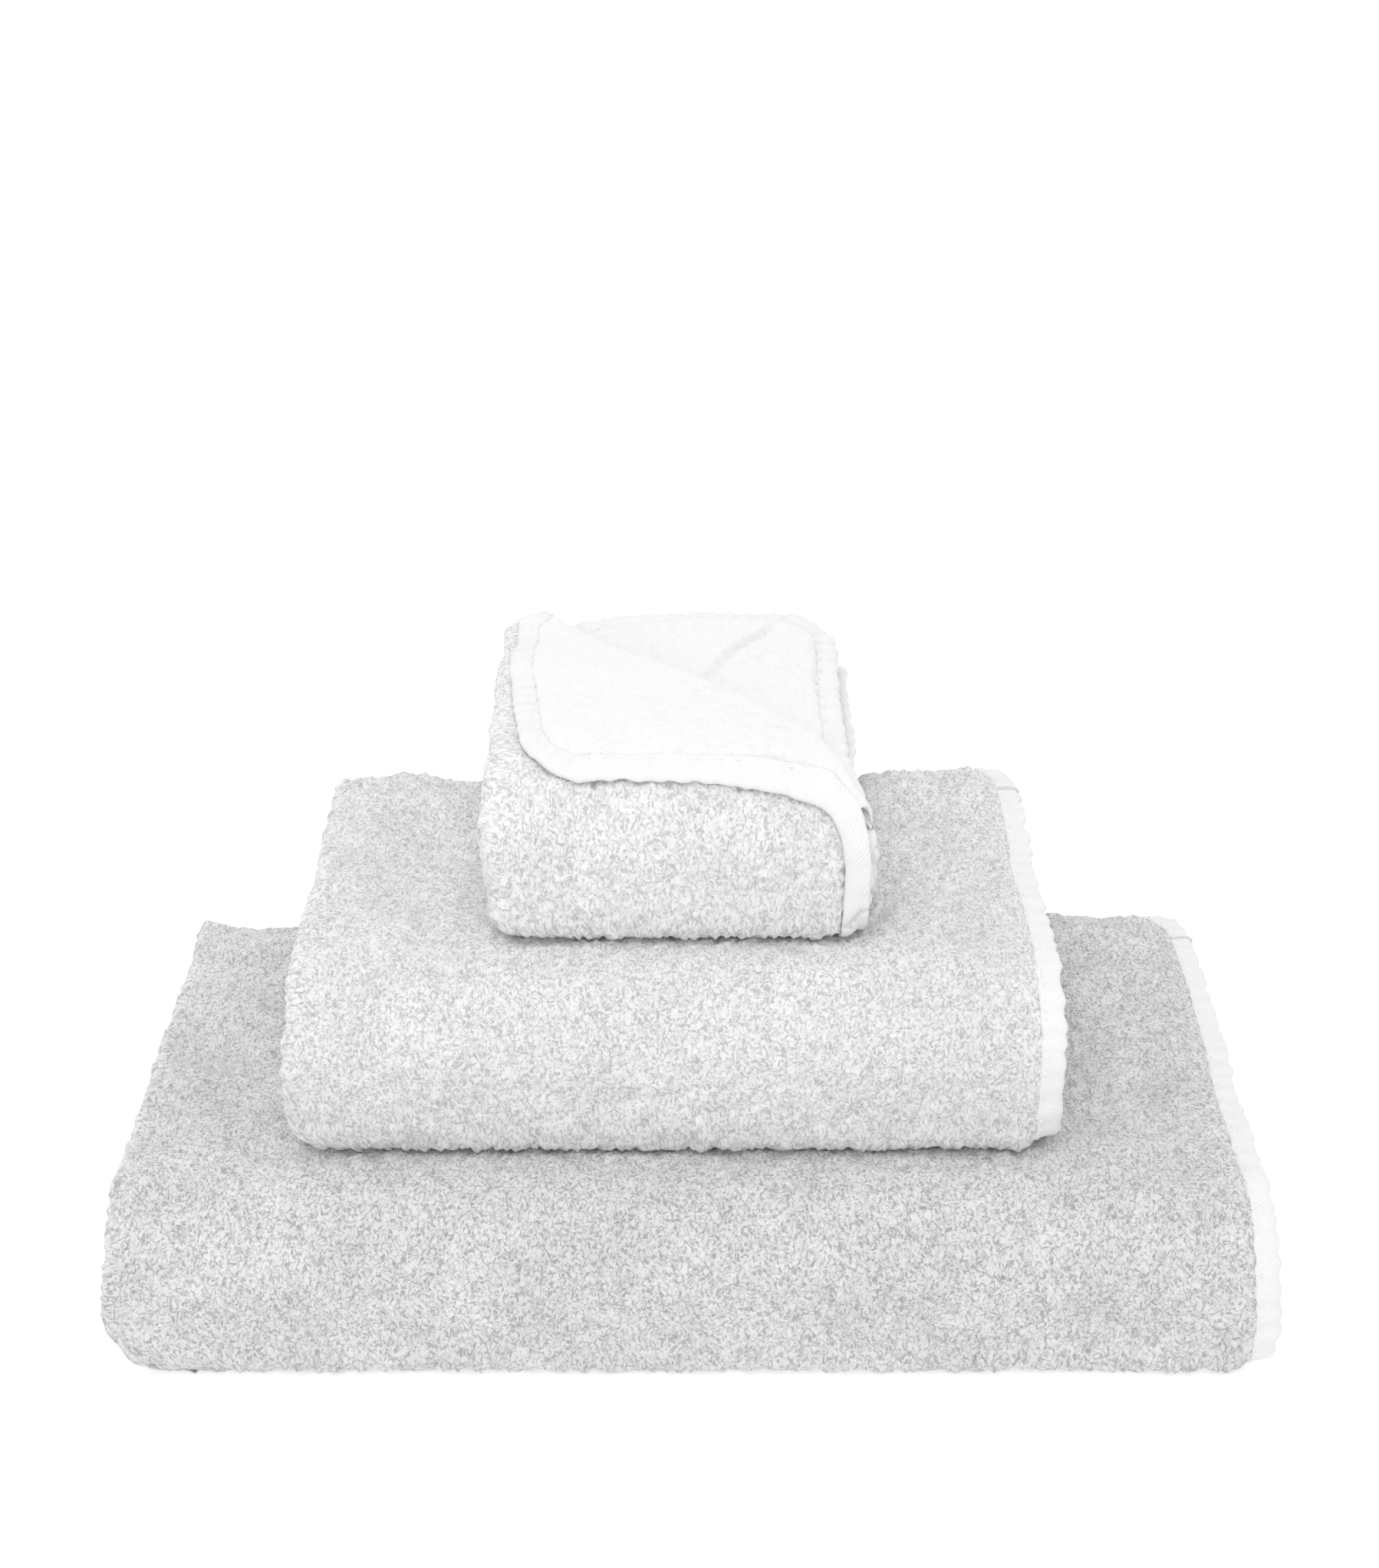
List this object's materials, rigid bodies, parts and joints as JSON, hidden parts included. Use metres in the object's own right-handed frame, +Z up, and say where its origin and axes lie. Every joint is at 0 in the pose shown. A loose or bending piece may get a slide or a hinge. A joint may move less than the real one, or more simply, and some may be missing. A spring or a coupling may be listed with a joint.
{
  "type": "bath towel set",
  "caption": "Stack of folded two-tone terry towels in falling sizes, each edged with ribbed tape, with the top towel's outer corner turned down.",
  "frame": {"origin": "middle of the bottom of the stack, on the surface that it stands on", "axes": "+X from the left folds to the right hems, along the towels' folded width; +Y from the front folds to the back hems; +Z up"},
  "size_m": [0.5, 0.255, 0.2505],
  "materials": {
    "terry_bath": "looped terry pile, pale grey face and white reverse",
    "terry_hand": "looped terry pile, pale grey face and white reverse",
    "terry_guest": "looped terry pile, pale grey face and white reverse",
    "terry_reverse": "looped terry pile, white reverse",
    "edge_tape": "white tape with fine cross ribs",
    "stitch_thread": "white cotton thread"
  },
  "bodies": {
    "bath_towel": {"bath_terry": "terry_bath", "bath_tape": "edge_tape", "bath_stitching": "stitch_thread"},
    "hand_towel": {"hand_terry": "terry_hand", "hand_tape": "edge_tape", "hand_stitching": "stitch_thread"},
    "guest_towel": {"guest_terry": "terry_guest", "guest_tape": "edge_tape", "guest_stitching": "stitch_thread"},
    "guest_corner": {"corner_terry": "terry_reverse", "corner_tape": "edge_tape", "corner_stitching": "stitch_thread"}
  },
  "joints": [
    {"name": "hand_towel_lift", "type": "slide", "parent": "bath_towel", "child": "hand_towel", "axis": [0, 0, 1], "range_m": [0, 0.15]},
    {"name": "guest_towel_lift", "type": "slide", "parent": "hand_towel", "child": "guest_towel", "axis": [0, 0, 1], "range_m": [0, 0.15]},
    {"name": "guest_corner_fold", "type": "hinge", "parent": "guest_towel", "child": "guest_corner", "pos_m": [-0.0015, 0.05, 0.246], "axis": [-0.7071, 0.7071, 0], "range_deg": [0, 180]}
  ]
}
